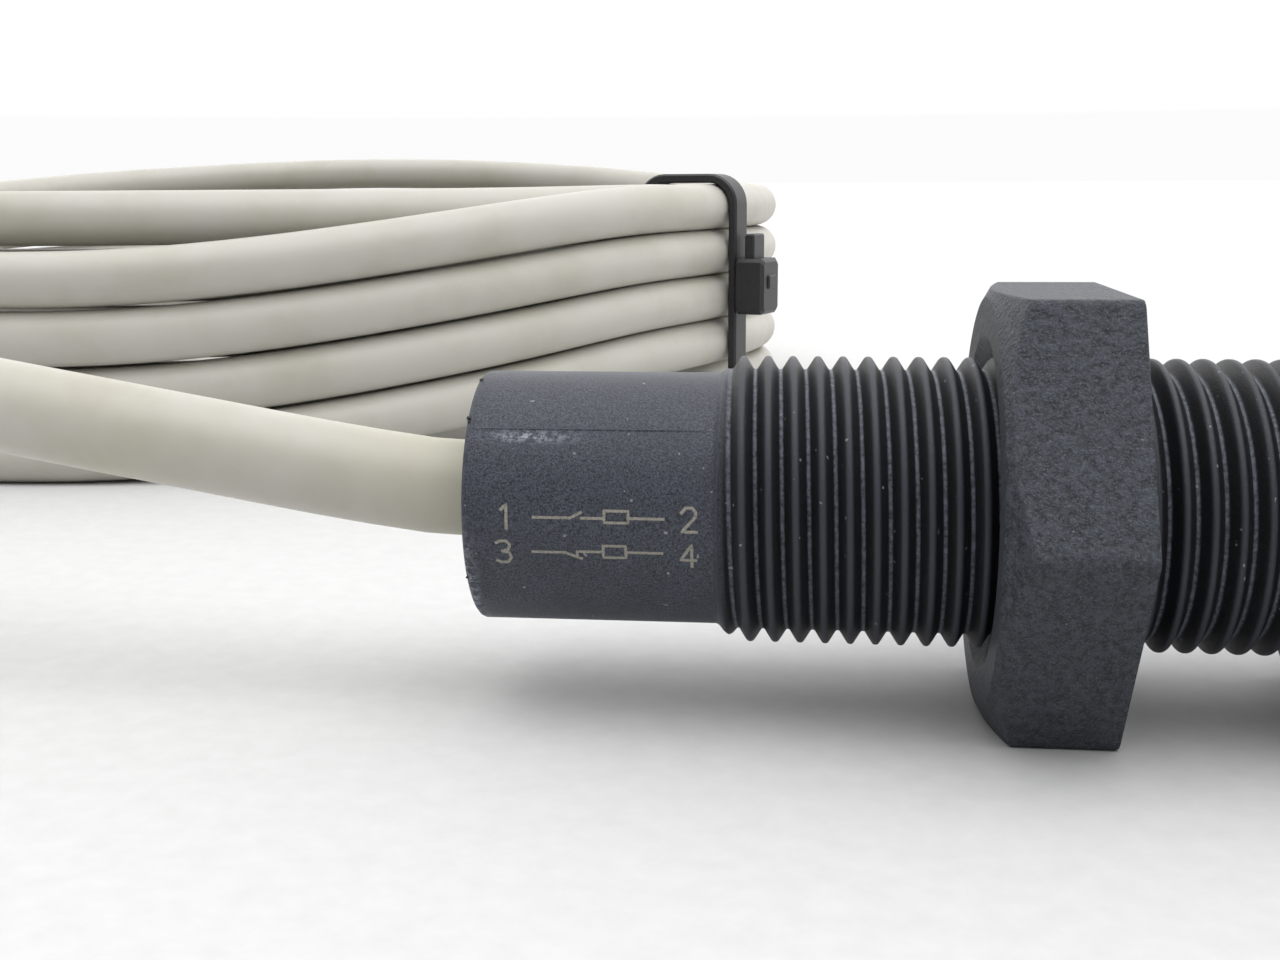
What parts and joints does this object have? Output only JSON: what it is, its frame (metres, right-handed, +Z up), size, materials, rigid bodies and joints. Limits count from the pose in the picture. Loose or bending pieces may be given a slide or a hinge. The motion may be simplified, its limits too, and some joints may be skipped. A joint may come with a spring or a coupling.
{
  "type": "cylindrical magnetic safety sensor",
  "caption": "Threaded M12 plastic magnetic safety sensor with reed contacts inside, hexagon mounting nuts that screw along the barrel, and a fixed round cable in a tied coil.",
  "frame": {"origin": "on the surface it lies on, under the middle of the barrel's length, on its axis line", "axes": "+X along the barrel towards the sensing face, +Z up from the surface, +Y to the left when looking along +X"},
  "size_m": [0.1435, 0.1603, 0.022],
  "materials": {
    "barrel_plastic": "moulded, fine grained",
    "nut_plastic": "moulded, coarse mottled grain",
    "potting_resin": "cast resin",
    "cable_pvc": "smooth soft PVC",
    "board": "solder mask",
    "solder": "bright solder",
    "reed_glass": "clear green glass",
    "reed_metal": "nickel iron",
    "contact_blade": "plated",
    "magnet": "ferrite",
    "resistor_lacquer": "lacquer with plain bands",
    "core_white": "PVC core",
    "core_brown": "PVC core",
    "core_green": "PVC core",
    "core_yellow": "PVC core",
    "tie_plastic": "nylon",
    "tinned_copper": "tinned strands"
  },
  "bodies": {
    "sensor": {"housing": "barrel_plastic", "end_cap": "barrel_plastic", "potting": "potting_resin", "cable_jacket_end": "cable_pvc", "circuit_board": "board", "solder_joints": "solder", "no_reed_glass": "reed_glass", "no_reed_lead": "reed_metal", "no_reed_fixed_blade": "reed_metal", "nc_reed_glass": "reed_glass", "nc_reed_lead": "reed_metal", "nc_reed_fixed_blade": "reed_metal", "bias_magnet": "magnet", "no_resistor": "resistor_lacquer", "nc_resistor": "resistor_lacquer", "wire_white": "core_white", "wire_brown": "core_brown", "wire_green": "core_green", "wire_yellow": "core_yellow", "cable_run": "cable_pvc", "cable_coil": "cable_pvc", "coil_tie": "tie_plastic", "cable_tail": "cable_pvc", "end_core_white": "core_white", "end_core_brown": "core_brown", "end_core_green": "core_green", "end_core_yellow": "core_yellow", "tinned_ends": "tinned_copper"},
    "rear_nut_feed": {"rear_nut_thread": "nut_plastic"},
    "rear_nut_hexagon": {"rear_nut": "nut_plastic"},
    "front_nut_feed": {"front_nut_thread": "nut_plastic"},
    "front_nut_hexagon": {"front_nut": "nut_plastic"},
    "no_contact": {"no_reed_moving_blade": "contact_blade"},
    "nc_contact": {"nc_reed_moving_blade": "contact_blade"}
  },
  "joints": [
    {"name": "rear_nut_advance", "type": "slide", "parent": "sensor", "child": "rear_nut_feed", "axis": [1, 0, 0], "range_m": [-0.008, 0.004]},
    {"name": "rear_nut_turn", "type": "hinge", "parent": "rear_nut_feed", "child": "rear_nut_hexagon", "pos_m": [0, 0, 0.0085], "axis": [1, 0, 0], "range_deg": [-2882, 1442]},
    {"name": "front_nut_advance", "type": "slide", "parent": "sensor", "child": "front_nut_feed", "axis": [1, 0, 0], "range_m": [-0.004, 0.002]},
    {"name": "front_nut_turn", "type": "hinge", "parent": "front_nut_feed", "child": "front_nut_hexagon", "pos_m": [0.0123, 0, 0.0085], "axis": [1, 0, 0], "range_deg": [-1442, 722]},
    {"name": "no_contact_closes", "type": "hinge", "parent": "sensor", "child": "no_contact", "pos_m": [0.00722, 0.0013, 0.00881], "axis": [0, 1, 0], "range_deg": [0, 0.65], "stiffness_Nm_per_rad": 0.01},
    {"name": "nc_contact_opens", "type": "hinge", "parent": "sensor", "child": "nc_contact", "pos_m": [0.00722, -0.0013, 0.00876], "axis": [0, 1, 0], "range_deg": [-0.8, 0], "stiffness_Nm_per_rad": 0.01}
  ],
  "couplings": [
    {"joint": "rear_nut_turn", "follows": "rear_nut_advance", "rad_per_m": 6283.2},
    {"joint": "front_nut_turn", "follows": "front_nut_advance", "rad_per_m": 6283.2}
  ]
}
